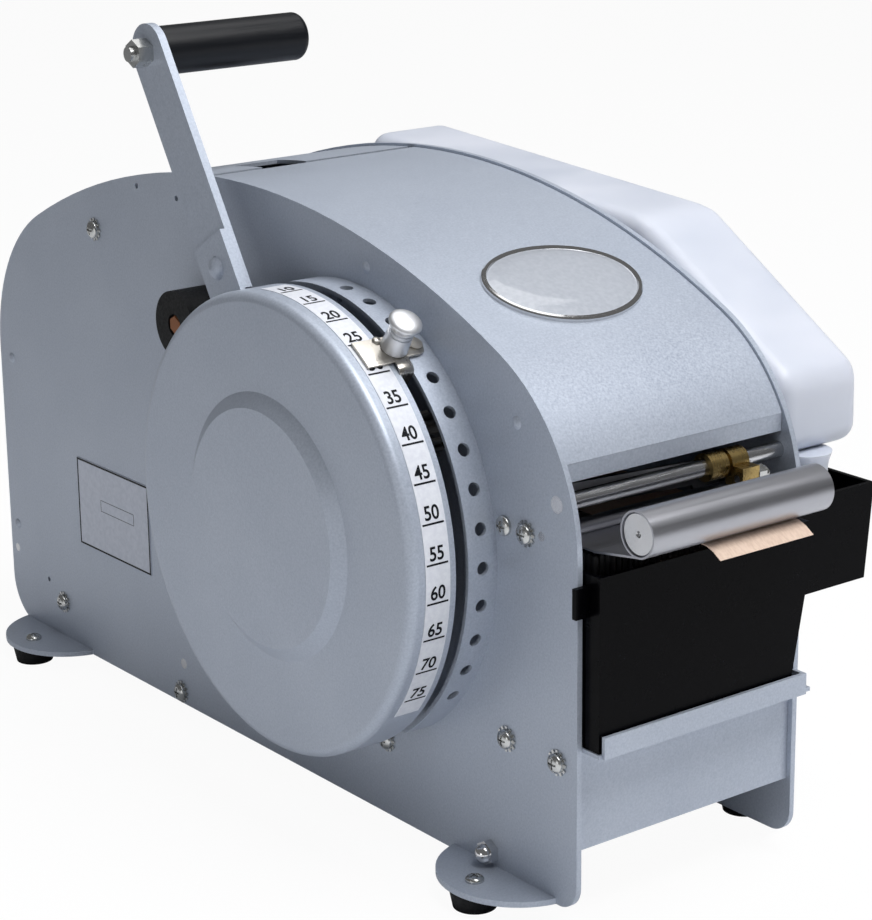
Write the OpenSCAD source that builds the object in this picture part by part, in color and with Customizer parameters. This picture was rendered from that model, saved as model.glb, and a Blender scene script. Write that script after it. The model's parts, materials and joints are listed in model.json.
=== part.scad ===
// Hand-lever dispenser for gummed paper tape.
// X runs across the machine from the dial side to the bottle side, Y from the front edge of the
// side plates to the back, and Z up from the bottom edge of the side plates.
// The whole machine is then set down so that its origin is on the table under its middle.

/* [Body] */
// Width across the outer faces of the two side plates
body_w = 145; // [135:1:160]
// Length of a side plate from its front edge to its back edge
plate_len = 546; // [535:1:570]
// Height of a side plate at the crown of its top edge
plate_h = 316; // [310:1:330]
// Thickness of a side plate
plate_t = 3; // [2.5:0.1:3.5]
// Radius of the long top edge of a side plate
top_r = 490; // [470:5:520]
// Radius where the top edge turns down to the front and back edges
corner_r = 100; // [90:1:110]
// Radius of the bottom back corner of a side plate
rear_r = 28; // [22:1:34]
// Radius of the bottom front corner of a side plate
front_r = 13; // [8:1:16]
// Gap left between a side plate and each cover or cross plate beside it
side_gap = 0.2; // [0.1:0.05:0.4]

/* [Feet] */
// Height of a rubber foot
foot_h = 10; // [8:1:14]
// Radius of a rubber foot at its top
foot_r = 13; // [11:0.5:14]
// Distance of the foot centres from the front and back edges
foot_inset = 55; // [50:1:60]
// How far a foot tab reaches out from the side plate
tab_reach = 32; // [30:1:36]
// Radius of the rounded foot tab
tab_r = 41; // [38:1:44]
// Distance of a foot screw from the side plate's outer face
foot_out = 18.4; // [16:0.2:20]
// Radius of a foot screw's shank
foot_screw_r = 2.5; // [2:0.1:3]

/* [Covers] */
// Thickness of the cover sheet
sheet_t = 2; // [1.5:0.1:2.5]
// Depth of the covers below the edge of the side plates
cover_inset = 1.5; // [1:0.1:2.5]
// Height of the front cover's front lip edge
lip_z = 221; // [217:1:226]
// Depth of the downturned front lip
lip_h = 9; // [6:1:12]
// Distance from the front edge to the gap between the two covers
slot_y = 308; // [300:1:330]
// Width of the gap between the two covers
cover_gap = 6; // [4:0.5:8]
// Width of the finger notch in the rear cover
notch_w = 29; // [22:1:34]
// Depth of the finger notch
notch_d = 28; // [20:1:34]
// Centre of the finger notch measured from the dial side
notch_x = 57; // [50:1:90]
// Half length of the oval badge across the cover
badge_a = 45; // [40:1:52]
// Half height of the oval badge along the cover
badge_b = 33; // [26:1:36]
// Distance of the badge's centre from the front edge
badge_y = 97; // [92:1:104]

/* [Dial] */
// Distance of the dial's centre from the front edge
dial_y = 178; // [175:1:181]
// Height of the dial's centre
dial_z = 161; // [158:1:164]
// Outer radius of the dial cover and of the stop ring
dial_r = 119; // [117:0.5:121]
// Width of the perforated stop ring
ring_w = 17.4; // [16:0.2:18]
// Thickness of the stop ring and of the dial cover's wall
dial_t = 2; // [1.5:0.1:2.5]
// Width of the slot between the stop ring and the dial cover
dial_slot = 7.6; // [7.4:0.1:8.4]
// Depth of the dial cover from the slot to its face
cover_depth = 27; // [25:0.5:31]
// Radius of the rounded edge of the dial cover
cover_edge_r = 5; // [4:0.5:8]
// Radius of the raised boss on the dial cover's face
boss_r = 69; // [64:1:76]
// Height of the raised boss
boss_h = 5; // [4:0.5:7]
// Angle from one scale mark to the next
mark_step = 9.33; // [9:0.01:9.6]
// Angle of the first scale mark, counted from the back over the top
mark_first = 91.95; // [90:0.05:94]
// Number of scale marks
mark_count = 14; // [10:1:14]
// Angle from a scale mark to the stop hole that belongs to it
hole_lag = 3.98; // [3.5:0.01:4.5]
// Radius of a stop hole
stop_hole_r = 3.4; // [2.8:0.1:3.8]
// Which mark the selector stands at, counted from zero
selector_mark = 3; // [3:1:11]

/* [Lever] */
// Angle of the lever at rest, counted from the back over the top
lever_rest = 58.4; // [54:0.2:60]
// Distance from the dial's centre to the grip's axis
lever_l = 263; // [240:1:275]
// Width of the lever arm
arm_w = 30; // [26:1:31]
// How far the lever's middle line passes behind the dial's centre
arm_off = 9; // [7:0.5:10]
// Thickness of the lever arm
arm_t = 4.5; // [4:0.1:5]
// Thickness of the lever bracket
bracket_t = 3; // [2.5:0.1:3.4]
// Radius of the grip
grip_r = 13; // [12:0.5:16]
// Length of the grip
grip_l = 91; // [84:1:100]
// Radius of the grip bolt
bolt_r = 4; // [3:0.5:5]

/* [Drive] */
// Module of the drive gear and its pinion
gear_m = 1.5; // [1.4:0.05:1.6]
// Teeth on the drive gear
gear_teeth = 112; // [112:1:112]
// Teeth on the pinion
pinion_teeth = 14; // [14:1:14]
// Width of the drive gear
gear_w = 7; // [5:0.5:8]
// Radius of the feed wheel
feed_r = 38.4; // [37:0.2:39.5]
// Width of the feed wheel
feed_w = 44; // [36:1:52]
// Radius of the feed shaft
shaft_r = 5; // [4.5:0.1:5.5]
// Radius of the dial spindle
spindle_r = 8; // [7:0.5:9]
// Radius of the rubber pressure roller
press_r = 12; // [10:0.5:14]
// Running clearance of a shaft in its bore
run_gap = 0.05; // [0.03:0.01:0.08]

/* [Tape] */
// Width of the tape
tape_w = 60; // [50:1:70]
// Thickness of the tape strip
tape_t = 0.3; // [0.2:0.05:0.4]
// Centre of the tape measured from the dial side
tape_x = 80; // [74:1:82]
// Outer radius of the tape roll
roll_r = 90; // [70:1:96]
// Outer radius of the roll's cardboard core
core_r = 20; // [18:1:24]
// How far the cut end of the tape lies in front of the side plates
tape_out = 42; // [40.5:0.5:48]

/* [Water] */
// Height of the shelf that carries the water tank
shelf_z = 85; // [82:1:88]
// Distance of the tank's front face ahead of the side plates
tank_front = 11; // [9:0.5:12]
// Height of the tank's rim
tank_top = 172; // [170:0.5:174]
// Wall thickness of the water tank
tank_t = 2.5; // [2:0.1:3]
// Length of the tank's arm beyond the bottle side plate
arm_out = 57; // [54:1:62]
// Height of the tank's arm
arm_h = 50; // [44:1:54]
// How far the arm's rim stands above the rim of the tank
arm_rise = 3.5; // [0:0.5:4.5]
// Thickness of the water bottle across the machine
bottle_w = 57; // [50:1:60]
// Distance of the bottle's back wall from the front edge
bottle_back = 362; // [340:1:380]
// Height of the bottle's top at the back
bottle_top = 314; // [306:1:320]
// Height of the bottle's underside
bottle_z = 194; // [190:1:198]
// Wall thickness of the bottle
bottle_t = 1.8; // [1.5:0.1:2.5]
// Radius of the bottle's neck
neck_r = 12; // [10:0.5:13]

/* [Exit] */
// Radius of the weight bar inside its rolled sheet
weight_r = 10.4; // [9.6:0.2:11]
// Length of the weight bar
weight_l = 113; // [105:1:120]
// Thickness of the stainless weight sheet
weight_sheet = 1; // [0.8:0.1:1.2]
// Distance of the weight bar's axis ahead of the side plates
weight_y = 28; // [24:1:32]
// Height of the weight bar's axis
weight_z = 196; // [194:0.5:198]
// Radius of the guide shaft
guide_r = 4.2; // [3.6:0.1:4.6]
// Radius of the brass guide collars
collar_r = 7; // [6.4:0.2:8]

/* [Hidden] */
$fn = 72;

silver = [0.66, 0.69, 0.73];
steel = [0.78, 0.79, 0.80];
black = [0.07, 0.07, 0.08];
kraft = [0.80, 0.66, 0.50];

// Centres of the side plate's arcs
mid_y = plate_len / 2;
top_cz = plate_h - top_r;
corner_z = top_cz + sqrt(pow(top_r - corner_r, 2) - pow(mid_y - corner_r, 2));

// Inner faces of the side plates and the span between them
in_l = plate_t;
in_r = body_w - plate_t;
span_l = in_l + side_gap;
span_r = in_r - side_gap;

// Dial stack along X, outward from the left plate
ring_x = -ring_w;
cover_x = ring_x - dial_slot;
face_x = cover_x - cover_depth;
bracket_x = cover_x + 0.5;
arm_x = bracket_x + bracket_t;
gear_x = -(gear_w + 8);
hub_r = 14;
flange_r = 24;
spindle_end_r = spindle_r - 2;
shoulder_x = cover_x - 9;
stop_angle = mark_first + selector_mark * mark_step;
hole_angle = stop_angle + hole_lag;
arm_end_r = dial_r + 4;
knob_x = cover_x + dial_slot / 2;

// Feed train
mesh_d = gear_m * (gear_teeth + pinion_teeth) / 2;
feed_angle = 143.13;
feed_y = dial_y + mesh_d * cos(feed_angle);
feed_z = dial_z + mesh_d * sin(feed_angle);
nip_z = feed_z - feed_r;
press_y = feed_y;
press_z = nip_z - tape_t - 0.4 - press_r;
yoke_y = press_y + 40;
yoke_z = press_z - 8;
yoke_r = 4;
axle_r = 3;
bush_r = shaft_r + 3;
hinge_y = plate_len - 7;
hinge_z = 46;
hinge_r = 2.5;

// Roll cradle and the tape's way to the feed wheel
cradle_y2 = plate_len - 63;
cradle_y1 = cradle_y2 - 136;
cradle_z = 25;
cradle_r = 10;
roll_y = (cradle_y1 + cradle_y2) / 2;
roll_z = cradle_z + sqrt(pow(roll_r + cradle_r + 0.3, 2) - pow((cradle_y2 - cradle_y1) / 2, 2));
guide_y = plate_len - 194;
guide_z = 238;
guide_roll_r = 13;
tape_x0 = tape_x - tape_w / 2;

// Exit
sheet_y = 26;
sheet_z = nip_z + tape_t + 0.2;
rod_r = 2.2;
blade_y = 46;
shaft_y = 15;
shaft_z = 202;

// Water
tank_l = in_l + 1;
tank_r = in_r - 3;
tank_back = 42;
arm_r = body_w + arm_out;
arm_top = tank_top + arm_rise;
arm_bottom = arm_top - arm_h;
arm_draft = 5;
tank_draft = 11;
well_y0 = 6;
bottle_x0 = body_w + 2.2;
neck_y = (well_y0 + tank_back) / 2;
neck_x = bottle_x0 + bottle_w / 2 - 6;
cap_t = 1.8;
cap_z = arm_bottom + tank_t + 0.3;

// Outer size of the machine, which places the origin
x_min = face_x - boss_h;
x_max = max(arm_r, bottle_x0 + bottle_w);
y_min = -tape_out;
y_max = plate_len;

module place() translate([-(x_min + x_max) / 2, -(y_min + y_max) / 2, foot_h]) children();

// Extrude a Y-Z outline along X, or an X-Z outline along Y
module yz(x, t) translate([x, 0, 0]) rotate([90, 0, 90]) linear_extrude(t) children();
module xz(y, t) translate([0, y + t, 0]) rotate([90, 0, 0]) linear_extrude(t) children();
// A round bar along X
module rod(x0, x1, y, z, r) translate([x0, y, z]) rotate([0, 90, 0]) cylinder(h = x1 - x0, r = r);
// A pan head screw along X with its head on the low side
module pan_screw(x, y, z, r, l, dir) translate([x, y, z]) rotate([0, 90 * dir, 0]) {
    cylinder(h = l, r = r);
    rotate([180, 0, 0]) intersection() {
        cylinder(h = r * 1.3, r = r * 1.9);
        translate([0, 0, -r * 1.5]) sphere(r = r * 2.8);
    }
}

// Upper part of the side plate's outline, drawn inward by a distance
module crown(inset = 0) {
    reach = 1.7;
    intersection() {
        translate([mid_y, top_cz]) circle(r = top_r - inset, $fn = 360);
        polygon([
            [corner_r, corner_z],
            [plate_len - corner_r, corner_z],
            [mid_y + reach * (mid_y - corner_r), top_cz + reach * (corner_z - top_cz)],
            [mid_y - reach * (mid_y - corner_r), top_cz + reach * (corner_z - top_cz)]]);
    }
    for (y = [corner_r, plate_len - corner_r])
        translate([y, corner_z]) circle(r = corner_r - inset, $fn = 180);
    translate([inset, rear_r]) square([plate_len - 2 * inset, corner_z - rear_r]);
}
module outline() {
    crown();
    translate([front_r, 0]) square([plate_len - front_r - rear_r, rear_r]);
    translate([0, front_r]) square([front_r, rear_r - front_r]);
    translate([front_r, front_r]) circle(r = front_r);
    translate([plate_len - rear_r, rear_r]) circle(r = rear_r);
}

// Where each kind of fixing sits on a side plate, as Y and Z
tie_at = [[cradle_y2, cradle_z], [plate_len - 196, 7], [150, 42], [plate_len - 122, 267]];
acorn_at = [[65, 9.8]];
shelf_at = [[14, shelf_z - 11], [52, shelf_z - 11]];
shear_at = [[37, nip_z + 3.2]];
plain_at = [[53, nip_z + 3.2]];
rivet_at = [[161, 289], [44, 235], [plate_len - 14, 170], [plate_len - 9, 62]];
screw_r = 2.6;
tie_r = 4.5;

module fixing_holes(x) {
    for (p = concat(tie_at, acorn_at, shelf_at, shear_at, plain_at))
        rod(x - 1, x + plate_t + 1, p[0], p[1], screw_r + run_gap);
    for (p = rivet_at) rod(x - 1, x + plate_t + 1, p[0], p[1], 2);
    rod(x - 1, x + plate_t + 1, feed_y, feed_z, bush_r);
    rod(x - 1, x + plate_t + 1, shaft_y, shaft_z, guide_r + run_gap);
    for (p = rods) rod(x - 1, x + plate_t + 1, p[0], p[1], p[2] + run_gap);
}

// One rounded foot tab turned out from the plate's bottom edge
module foot_tab(y, dir) translate([0, y, 0]) intersection() {
    translate([dir * (tab_reach - tab_r), 0, 0]) cylinder(h = plate_t, r = tab_r);
    translate([dir > 0 ? 0 : -tab_r - 20, -60, -1]) cube([tab_r + 20, 120, plate_t + 2]);
}

module side_plate(x, dir) difference() {
    union() {
        yz(x, plate_t) outline();
        for (y = [foot_inset, plate_len - foot_inset])
            translate([dir > 0 ? x + plate_t : x, 0, 0]) foot_tab(y, dir);
    }
    fixing_holes(x);
    for (y = [foot_inset, plate_len - foot_inset])
        translate([dir > 0 ? body_w + foot_out : -foot_out, y, -1])
            cylinder(h = plate_t + 2, r = foot_screw_r + run_gap);
}

module left_side_plate() color(silver) place() difference() {
    side_plate(0, -1);
    rod(-1, plate_t + 1, dial_y, dial_z, spindle_end_r + run_gap);
    rod(-1, plate_t + 1, buffer_y, buffer_z, 3 + run_gap);
    // Spare holes
    for (p = [[-170, 299], [-211, 298], [-45, 35]])
        rod(-1, plate_t + 1, plate_len + p[0], p[1], 1.6);
    rod(-1, plate_t + 1, dial_y - 62, dial_z - 46, 11);
}

module right_side_plate() color(silver) place() difference() {
    side_plate(in_r, 1);
    // Way through for the tank's arm
    translate([in_r - 1, -1, arm_bottom - 4]) cube([plate_t + 2, tank_back + 5, arm_h + 5]);
}

// The sheet that follows the plate's top edge
module cover_band(t0, t1) difference() {
    crown(t0);
    crown(t1);
}
cover_r = cover_inset + sheet_t;
flange_t = 1.5;
lip_y = corner_r - sqrt(pow(corner_r - cover_inset, 2) - pow(lip_z - corner_z, 2));

module front_cover() color(silver) place() {
    difference() {
        union() {
            yz(span_l, span_r - span_l) {
                intersection() {
                    cover_band(cover_inset, cover_r);
                    translate([-5, lip_z]) square([slot_y + 5, plate_h]);
                }
                translate([lip_y + 0.15, lip_z - lip_h]) square([sheet_t, lip_h + 0.25]);
            }
            // Flanges turned down against the side plates
            for (x = [span_l, span_r - flange_t]) yz(x, flange_t) intersection() {
                cover_band(cover_inset + sheet_t / 2, cover_inset + 14);
                translate([-5, lip_z + 2]) square([slot_y + 3, plate_h]);
            }
        }
        for (p = [rivet_at[0], rivet_at[1]]) rod(0, body_w, p[0], p[1], 2);
    }
}

module rear_cover() color(silver) place() difference() {
    union() {
        yz(span_l, span_r - span_l) intersection() {
            cover_band(cover_inset, cover_r);
            translate([slot_y + cover_gap, hinge_z]) square([plate_len, plate_h]);
        }
        rod(span_l, span_r, hinge_y, hinge_z, plate_len - cover_inset - hinge_y);
    }
    rod(-1, body_w + 1, hinge_y, hinge_z, hinge_r + run_gap);
    translate([notch_x - notch_w / 2, slot_y, plate_h - 40]) cube([notch_w, cover_gap + notch_d, 60]);
}

// Rods from plate to plate: yoke pivot, weight sheet rod, two roller axles, rear cover's hinge rod
rods = [
    [yoke_y, yoke_z, yoke_r], [sheet_y, sheet_z + 4, rod_r], [guide_y, guide_z, axle_r],
    [cradle_y1, cradle_z, axle_r], [hinge_y, hinge_z, hinge_r]];
module pivot_rods() color(steel) place() for (p = rods) rod(0, body_w, p[0], p[1], p[2]);

cross_h0 = 31;
module front_cross_plate() color(silver) place() {
    translate([span_l, 3, cross_h0]) cube([span_r - span_l, 2, shelf_z - 2.2 - cross_h0]);
    for (x = [span_l, span_r - 1.5]) translate([x, 3, cross_h0]) cube([1.5, 22, 26]);
}
module rear_cross_plate() color(silver) place() {
    translate([span_l, plate_len - 8, 6]) cube([span_r - span_l, 2, 30]);
    for (x = [span_l, span_r - 1.5]) translate([x, plate_len - 26, 8]) cube([1.5, 19, 26]);
}

module tie_rods() color(steel) place() for (p = concat(tie_at, acorn_at)) difference() {
    rod(in_l, in_r, p[0], p[1], tie_r);
    rod(in_l - 1, in_l + 9, p[0], p[1], screw_r + run_gap);
    rod(in_r - 9, in_r + 1, p[0], p[1], screw_r + run_gap);
}
washer_t = 0.8;
module star_washer(x, y, z, t) yz(x, t) translate([y, z]) difference() {
    union() {
        circle(r = 5.2);
        for (a = [0 : 30 : 330]) rotate(a) translate([5.6, 0]) square([2, 1.5], center = true);
    }
    circle(r = screw_r + run_gap);
}
module star_washers() color(steel) place() for (p = concat(tie_at, shelf_at, shear_at)) {
    star_washer(-washer_t, p[0], p[1], washer_t);
    star_washer(body_w, p[0], p[1], washer_t);
}
module frame_screws() color(steel) place() {
    for (p = tie_at) {
        pan_screw(-washer_t, p[0], p[1], screw_r, washer_t + plate_t + 7, 1);
        pan_screw(body_w + washer_t, p[0], p[1], screw_r, washer_t + plate_t + 7, -1);
    }
    for (p = concat(shelf_at, shear_at)) {
        pan_screw(-washer_t, p[0], p[1], screw_r, washer_t + plate_t + 2.5, 1);
        pan_screw(body_w + washer_t, p[0], p[1], screw_r, washer_t + plate_t + 2.5, -1);
    }
    for (p = plain_at) {
        pan_screw(0, p[0], p[1], screw_r, plate_t + 2.5, 1);
        pan_screw(body_w, p[0], p[1], screw_r, plate_t + 2.5, -1);
    }
}
module acorn_nuts() color(steel) place() for (p = acorn_at) for (side = [-1, 1]) {
    x = side < 0 ? 0 : body_w;
    translate([x, p[0], p[1]]) rotate([0, 90 * side, 0]) {
        cylinder(h = 4.5, r = 6.5, $fn = 6);
        translate([0, 0, 4.5]) intersection() {
            sphere(r = 4.9);
            cylinder(h = 6, r = 6);
        }
        translate([0, 0, -plate_t - 7]) cylinder(h = plate_t + 7, r = screw_r);
    }
}
module plate_rivets() color(silver) place() for (p = rivet_at) for (side = [-1, 1]) {
    x = side < 0 ? 0 : body_w;
    translate([x, p[0], p[1]]) rotate([0, 90 * side, 0]) {
        translate([0, 0, -plate_t - side_gap - 1.5]) cylinder(h = plate_t + side_gap + 1.5, r = 2 - run_gap);
        intersection() {
            translate([0, 0, -2.6]) sphere(r = 4.2);
            cylinder(h = 3, r = 5);
        }
    }
}

// A low oval cushion on the front cover, drawn square to the sheet under its middle
seat_r = top_r - cover_inset;
badge_lean = asin((mid_y - badge_y) / seat_r);
badge_t = 3.5;
module cover_badge() color(steel) place()
translate([body_w / 2, mid_y, top_cz]) rotate([badge_lean, 0, 0]) difference() {
    translate([0, 0, seat_r - 4]) linear_extrude(4 + badge_t)
        polygon([for (a = [0 : 6 : 354]) [badge_a * cos(a), badge_b * sin(a)]]);
    rotate([0, 90, 0]) cylinder(h = 2 * body_w, r = seat_r + 0.05, center = true, $fn = 360);
}
label_l = 80;
label_h = 54;
label_t = 0.5;
module data_plate() color(steel) place()
    translate([-label_t, plate_len - 168, 70]) cube([label_t, label_l, label_h]);

module foot_places() for (x = [-foot_out, body_w + foot_out])
    for (y = [foot_inset, plate_len - foot_inset]) translate([x, y, 0]) children();
module rubber_feet() color(black) place() foot_places() difference() {
    translate([0, 0, -foot_h]) cylinder(h = foot_h, r1 = foot_r - 2, r2 = foot_r);
    translate([0, 0, -foot_h + 3]) cylinder(h = foot_h, r = foot_screw_r + run_gap);
}
module foot_screws() color(steel) place() foot_places() translate([0, 0, plate_t]) rotate([0, 90, 0])
    pan_screw(0, 0, 0, foot_screw_r, plate_t + foot_h - 4, 1);

// Dial cover: a pressed cap with a rounded edge, a raised boss and a socket for the spindle
module dial_cover() color(silver) place() translate([0, dial_y, dial_z]) rotate([0, -90, 0]) difference() {
    rotate_extrude($fn = 180) difference() {
        union() {
            translate([0, -cover_x]) square([dial_r, cover_depth - cover_edge_r]);
            translate([0, -cover_x]) square([dial_r - cover_edge_r, cover_depth]);
            translate([dial_r - cover_edge_r, -face_x - cover_edge_r]) circle(r = cover_edge_r);
            polygon([
                [0, -face_x - 0.5], [boss_r, -face_x - 0.5], [boss_r, -face_x],
                [boss_r - 1.5 * boss_h, -face_x + boss_h], [0, -face_x + boss_h]]);
        }
        translate([spindle_end_r + 6, -cover_x - 1])
            square([dial_r - dial_t - spindle_end_r - 6, cover_depth + 1 - cover_edge_r]);
        translate([spindle_end_r + 6, -cover_x - 1])
            square([dial_r - cover_edge_r - spindle_end_r - 6, cover_depth + 1 - dial_t]);
        translate([0, -cover_x - 1]) square([spindle_end_r + 7, 1 - shoulder_x + cover_x]);
    }
    translate([0, 0, -shoulder_x - 1]) cylinder(h = -face_x + shoulder_x, r = spindle_end_r + run_gap);
}

// A wedge of the dial plane between two angles, counted from the back over the top
module wedge(a0, a1, r) polygon(concat(
    [[0, 0]], [for (i = [0 : 12]) let (a = a0 + (a1 - a0) * i / 12) [r * cos(a), r * sin(a)]]));
scale_w = 14.5;
scale_a0 = mark_first - 8;
scale_a1 = mark_first + (mark_count - 1) * mark_step + 6;
module dial_scale() color("white") place()
yz(cover_x - 3.5 - scale_w, scale_w) translate([dial_y, dial_z]) intersection() {
    difference() {
        circle(r = dial_r + 0.3, $fn = 180);
        circle(r = dial_r + 0.05, $fn = 180);
    }
    wedge(scale_a0, scale_a1, dial_r * 1.2);
}

ring_a0 = mark_first - 14;
ring_a1 = mark_first + mark_count * mark_step + 14;
module stop_ring() color(silver) place() difference() {
    union() {
        yz(ring_x, ring_w) translate([dial_y, dial_z]) intersection() {
            difference() {
                circle(r = dial_r, $fn = 180);
                circle(r = dial_r - dial_t, $fn = 180);
            }
            wedge(ring_a0, ring_a1, dial_r * 1.2);
        }
        // Feet of the ring, turned inward against the plate
        for (a = [ring_a0 + 6, (ring_a0 + ring_a1) / 2, ring_a1 - 6])
            yz(-dial_t, dial_t) translate([dial_y, dial_z]) rotate(a)
                translate([dial_r - 12, -7]) square([11, 14]);
    }
    for (k = [0 : mark_count - 1]) translate([ring_x / 2, dial_y, dial_z])
        rotate([mark_first + hole_lag + k * mark_step, 0, 0]) rotate([-90, 0, 0])
            translate([0, 0, dial_r - 8]) cylinder(h = 16, r = stop_hole_r, $fn = 36);
}

module dial_spindle() color(steel) place() {
    rod(-3, 0, dial_y, dial_z, 16);
    rod(shoulder_x, -3, dial_y, dial_z, spindle_r);
    rod(face_x + dial_t + 1, shoulder_x, dial_y, dial_z, spindle_end_r);
    rod(0, in_l + 9, dial_y, dial_z, spindle_end_r);
}
module spindle_nut() color(steel) place() difference() {
    translate([in_l, dial_y, dial_z]) rotate([0, 90, 0]) cylinder(h = 7, r = 12, $fn = 6);
    rod(in_l - 1, in_l + 8, dial_y, dial_z, spindle_end_r + run_gap);
}

// Wound torsion spring round the hub, swept as one tube
spring_wire = 1;
spring_sides = 6;
spring_steps = 24;
spring_turns = 5;
spring_x0 = shoulder_x + 0.4;
spring_pitch = (bracket_x - 0.4 - spring_x0 - spring_wire) / spring_turns;
spring_r = spindle_r + 4;
function spring_ring(i) = let (a = 360 * i / spring_steps) [for (j = [0 : spring_sides - 1])
    let (b = 360 * j / spring_sides, r = spring_r + spring_wire / 2 * cos(b))
    [spring_x0 + spring_wire / 2 + spring_pitch * a / 360 + spring_wire / 2 * sin(b),
     r * cos(a), r * sin(a)]];
module return_spring() color(steel) place() translate([0, dial_y, dial_z]) {
    n = spring_turns * spring_steps;
    s = spring_sides;
    points = [for (i = [0 : n]) each spring_ring(i)];
    walls = [for (i = [0 : n - 1]) for (j = [0 : s - 1]) each
        [[i * s + j, i * s + (j + 1) % s, (i + 1) * s + (j + 1) % s],
         [i * s + j, (i + 1) * s + (j + 1) % s, (i + 1) * s + j]]];
    ends = [for (j = [1 : s - 2]) each [[0, j + 1, j], [n * s, n * s + j, n * s + j + 1]]];
    polyhedron(points, concat(walls, ends));
}

// Everything on the lever is drawn pointing along the lever's rest angle
module on_lever() translate([0, dial_y, dial_z]) rotate([lever_rest, 0, 0]) children();
bracket_end = dial_r + 37;
hub_x1 = gear_x + gear_w;
rivet_y = arm_end_r + 17;
module lever_bracket() color(silver) place() on_lever() difference() {
    union() {
        yz(bracket_x, bracket_t) {
            translate([0, -arm_off - arm_w / 2]) square([bracket_end, arm_w]);
            circle(r = flange_r);
        }
        rod(bracket_x + bracket_t, gear_x, 0, 0, flange_r);
        rod(gear_x, hub_x1, 0, 0, hub_r);
    }
    rod(bracket_x - 1, hub_x1 + 1, 0, 0, spindle_r + run_gap);
    for (a = [45 : 90 : 315]) rotate([a, 0, 0]) rod(bracket_x - 1, gear_x + 1, hub_r + 5, 0, 2 + run_gap);
    rod(bracket_x - 1, arm_x + 1, rivet_y, -arm_off, 3 + run_gap);
}
module lever_arm() color(silver) place() on_lever() difference() {
    yz(arm_x, arm_t) {
        translate([arm_end_r, -arm_off - arm_w / 2]) square([lever_l - arm_end_r, arm_w]);
        translate([lever_l, -arm_off]) circle(r = arm_w / 2);
    }
    rod(arm_x - 1, arm_x + arm_t + 1, lever_l, -arm_off, bolt_r + run_gap);
    rod(arm_x - 1, arm_x + arm_t + 1, rivet_y, -arm_off, 3 + run_gap);
}
module lever_rivets() color(silver) place() on_lever() {
    translate([bracket_x, rivet_y, -arm_off]) rotate([0, 90, 0]) {
        cylinder(h = bracket_t + arm_t + 0.8, r = 3);
        rotate([180, 0, 0]) intersection() {
            translate([0, 0, -3.4]) sphere(r = 7.2);
            cylinder(h = 5, r = 7);
        }
    }
    for (a = [45 : 90 : 315]) rotate([a, 0, 0]) rod(bracket_x - 0.6, gear_x + gear_w + 0.6, hub_r + 5, 0, 2);
}

// Stub involute gear, with its first tooth on the +X axis of the drawing
function inv_point(rb, r) = let (t = sqrt(pow(r / rb, 2) - 1)) t * 180 / PI - atan(t);
module gear_shape(teeth, root) {
    rp = gear_m * teeth / 2;
    rb = rp * cos(20);
    ra = rp + 0.8 * gear_m;
    rr = rp - root * gear_m;
    half = 90 / teeth * 0.9 + inv_point(rb, rp);
    r0 = max(rb, rr);
    flank = [for (i = [0 : 4]) let (r = r0 + (ra - r0) * i / 4) [r, half - inv_point(rb, r)]];
    tooth = concat([[rr, half - inv_point(rb, r0)]], flank);
    polygon([for (k = [0 : teeth - 1]) let (c = 360 * k / teeth) each concat(
        [for (p = tooth) [p[0] * cos(c - p[1]), p[0] * sin(c - p[1])]],
        [for (i = [len(tooth) - 1 : -1 : 0])
            [tooth[i][0] * cos(c + tooth[i][1]), tooth[i][0] * sin(c + tooth[i][1])]])]);
}
gear_root = 1.05;
module drive_gear() color(steel) place() difference() {
    yz(gear_x, gear_w) translate([dial_y, dial_z]) rotate(feed_angle) difference() {
        gear_shape(gear_teeth, gear_root);
        circle(r = hub_r + run_gap);
        for (a = [22.5 : 45 : 337.5]) rotate(a) translate([52, 0]) circle(r = 14);
    }
    on_lever() for (a = [45 : 90 : 315]) rotate([a, 0, 0])
        rod(gear_x - 1, gear_x + gear_w + 1, hub_r + 5, 0, 2 + run_gap);
}
module pinion() color(steel) place() yz(gear_x - 2, gear_w + 4) translate([feed_y, feed_z])
    rotate(feed_angle + 180 + 180 / pinion_teeth) difference() {
        gear_shape(pinion_teeth, gear_root);
        circle(r = shaft_r + run_gap);
    }

grip_x0 = arm_x + arm_t + 1;
nut_t = 9;
module grip_bolt() color(steel) place() on_lever() {
    rod(arm_x - nut_t - 3, grip_x0 + grip_l - 6, lever_l, -arm_off, bolt_r);
    rod(grip_x0 + grip_l - 6, grip_x0 + grip_l - 3, lever_l, -arm_off, bolt_r + 2.5);
    difference() {
        rod(grip_x0 - 1, grip_x0 - 0.2, lever_l, -arm_off, bolt_r + 4);
        rod(grip_x0 - 2, grip_x0 + 1, lever_l, -arm_off, bolt_r - 1);
    }
}
module grip_nut() color(steel) place() on_lever() difference() {
    translate([arm_x - nut_t, lever_l, -arm_off]) rotate([0, 90, 0])
        cylinder(h = nut_t, r = 7.5, $fn = 6);
    rod(arm_x - nut_t - 1, arm_x + 1, lever_l, -arm_off, bolt_r + run_gap);
}
module grip() color(black) place()
on_lever() translate([grip_x0, lever_l, -arm_off]) rotate([0, 90, 0])
rotate_extrude() difference() {
    union() {
        translate([0, 0]) square([grip_r, grip_l - 4]);
        translate([0, 0]) square([grip_r - 4, grip_l]);
        translate([grip_r - 4, grip_l - 4]) circle(r = 4);
    }
    translate([-1, -1]) square([bolt_r + run_gap + 1, grip_l + 2]);
    translate([-1, grip_l - 6.05]) square([bolt_r + 3.6, 10]);
}

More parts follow.
